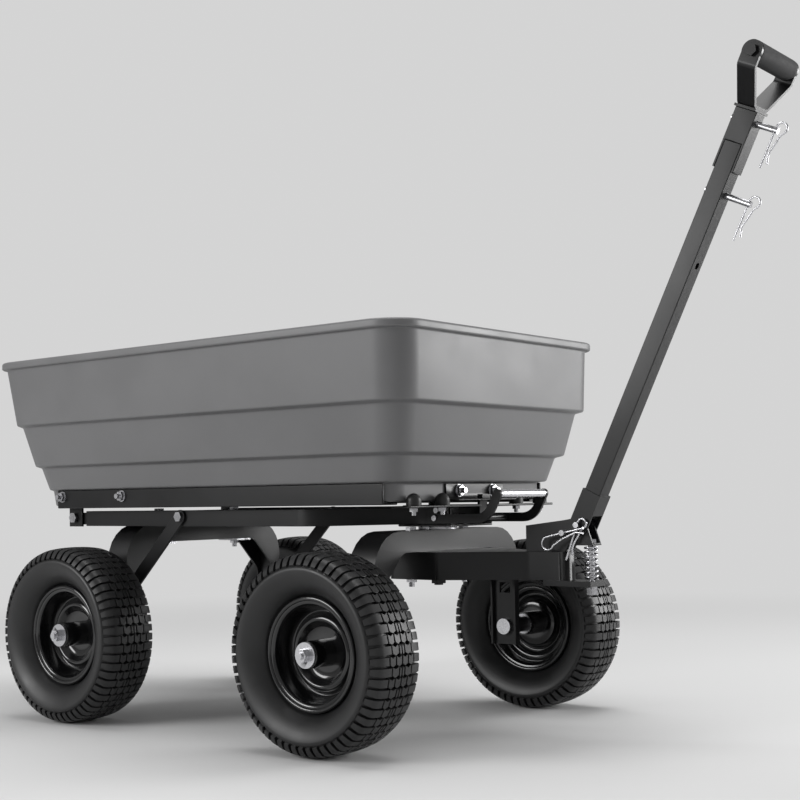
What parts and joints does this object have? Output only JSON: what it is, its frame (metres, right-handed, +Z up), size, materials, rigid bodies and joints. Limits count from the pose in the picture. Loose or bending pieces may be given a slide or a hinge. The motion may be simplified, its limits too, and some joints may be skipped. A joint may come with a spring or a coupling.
{
  "type": "dump cart",
  "caption": "Garden dump cart: a tiered plastic tub that tips back on a steel chassis with knobbly tyres, a steered front axle, a hand latch and a swinging tongue with a foam grip.",
  "frame": {"origin": "on the ground under the middle of the cart's box, on its centre plane", "axes": "+X forward towards the tongue, +Y to the cart's left, +Z up"},
  "size_m": [1.5738, 0.76, 1.0911],
  "materials": {
    "tub_plastic": "matte moulded grain",
    "black_steel": "satin black powder coat",
    "zinc": "bright zinc plate",
    "tyre": "black moulded rubber",
    "rubber": "black rubber",
    "foam": "black closed-cell foam"
  },
  "bodies": {
    "chassis": {"chassis_rail_right": "black_steel", "chassis_rail_left": "black_steel", "front_plate": "black_steel", "neck_plate": "black_steel", "rear_cross_member": "black_steel", "tail_cross_member": "black_steel", "hinge_bolts": "zinc", "rear_axle_arch": "black_steel", "rear_arch_bolts": "zinc", "axle_braces": "black_steel", "brace_bolts": "zinc", "rear_stub_axles": "zinc", "rear_axle_nuts": "zinc", "rear_spacers": "black_steel", "bump_stops": "rubber", "bump_stop_studs": "zinc", "king_pin": "black_steel", "thrust_washer": "zinc", "latch_brackets": "black_steel", "latch_pivot": "zinc", "latch_spring": "zinc"},
    "bed": {"tub": "tub_plastic", "bed_rail_right": "black_steel", "bed_rail_left": "black_steel", "hinge_brackets": "black_steel", "bed_bolts": "zinc", "striker_plate": "black_steel"},
    "latch": {"latch_handle": "black_steel", "latch_hook": "black_steel"},
    "steering": {"front_axle_arch": "black_steel", "steering_yoke": "black_steel", "tongue_bracket": "black_steel", "spring_bolt": "zinc", "cushion_spring": "zinc", "yoke_bolts": "zinc", "front_stub_axles": "zinc", "front_axle_nuts": "zinc", "front_spacers": "black_steel", "tongue_pins": "zinc", "bracket_clips": "zinc"},
    "tongue": {"tongue_tube": "black_steel", "tongue_foot": "black_steel", "hitch_plates": "black_steel", "hitch_pins": "zinc", "hitch_clips": "zinc", "grip_frame": "black_steel", "grip_bolt": "black_steel", "foam_grip": "foam"},
    "wheel_front_right": {"tyre_front_right": "tyre", "rim_front_right": "black_steel", "bearings_front_right": "zinc"},
    "wheel_front_left": {"tyre_front_left": "tyre", "rim_front_left": "black_steel", "bearings_front_left": "zinc"},
    "wheel_rear_right": {"tyre_rear_right": "tyre", "rim_rear_right": "black_steel", "bearings_rear_right": "zinc"},
    "wheel_rear_left": {"tyre_rear_left": "tyre", "rim_rear_left": "black_steel", "bearings_rear_left": "zinc"}
  },
  "joints": [
    {"name": "bed_tip", "type": "hinge", "parent": "chassis", "child": "bed", "pos_m": [-0.63894, 0, 0.384], "axis": [0, -1, 0], "range_deg": [0, 75]},
    {"name": "latch_lift", "type": "hinge", "parent": "chassis", "child": "latch", "pos_m": [0.16306, 0, 0.378], "axis": [0, -1, 0], "range_deg": [0, 10], "stiffness_Nm_per_rad": 6, "springref_deg": -14.32},
    {"name": "steer_turn", "type": "hinge", "parent": "chassis", "child": "steering", "pos_m": [0.11406, 0, 0.3], "axis": [0, 0, 1], "range_deg": [-40, 40]},
    {"name": "tongue_swing", "type": "hinge", "parent": "steering", "child": "tongue", "pos_m": [0.41606, 0, 0.365], "axis": [0, 1, 0], "range_deg": [-20, 72]},
    {"name": "spin_front_right", "type": "hinge", "parent": "steering", "child": "wheel_front_right", "pos_m": [0.11406, -0.321, 0.165], "axis": [0, 1, 0], "continuous": true},
    {"name": "spin_front_left", "type": "hinge", "parent": "steering", "child": "wheel_front_left", "pos_m": [0.11406, 0.321, 0.165], "axis": [0, 1, 0], "continuous": true},
    {"name": "spin_rear_right", "type": "hinge", "parent": "chassis", "child": "wheel_rear_right", "pos_m": [-0.50894, -0.321, 0.165], "axis": [0, 1, 0], "continuous": true},
    {"name": "spin_rear_left", "type": "hinge", "parent": "chassis", "child": "wheel_rear_left", "pos_m": [-0.50894, 0.321, 0.165], "axis": [0, 1, 0], "continuous": true}
  ]
}
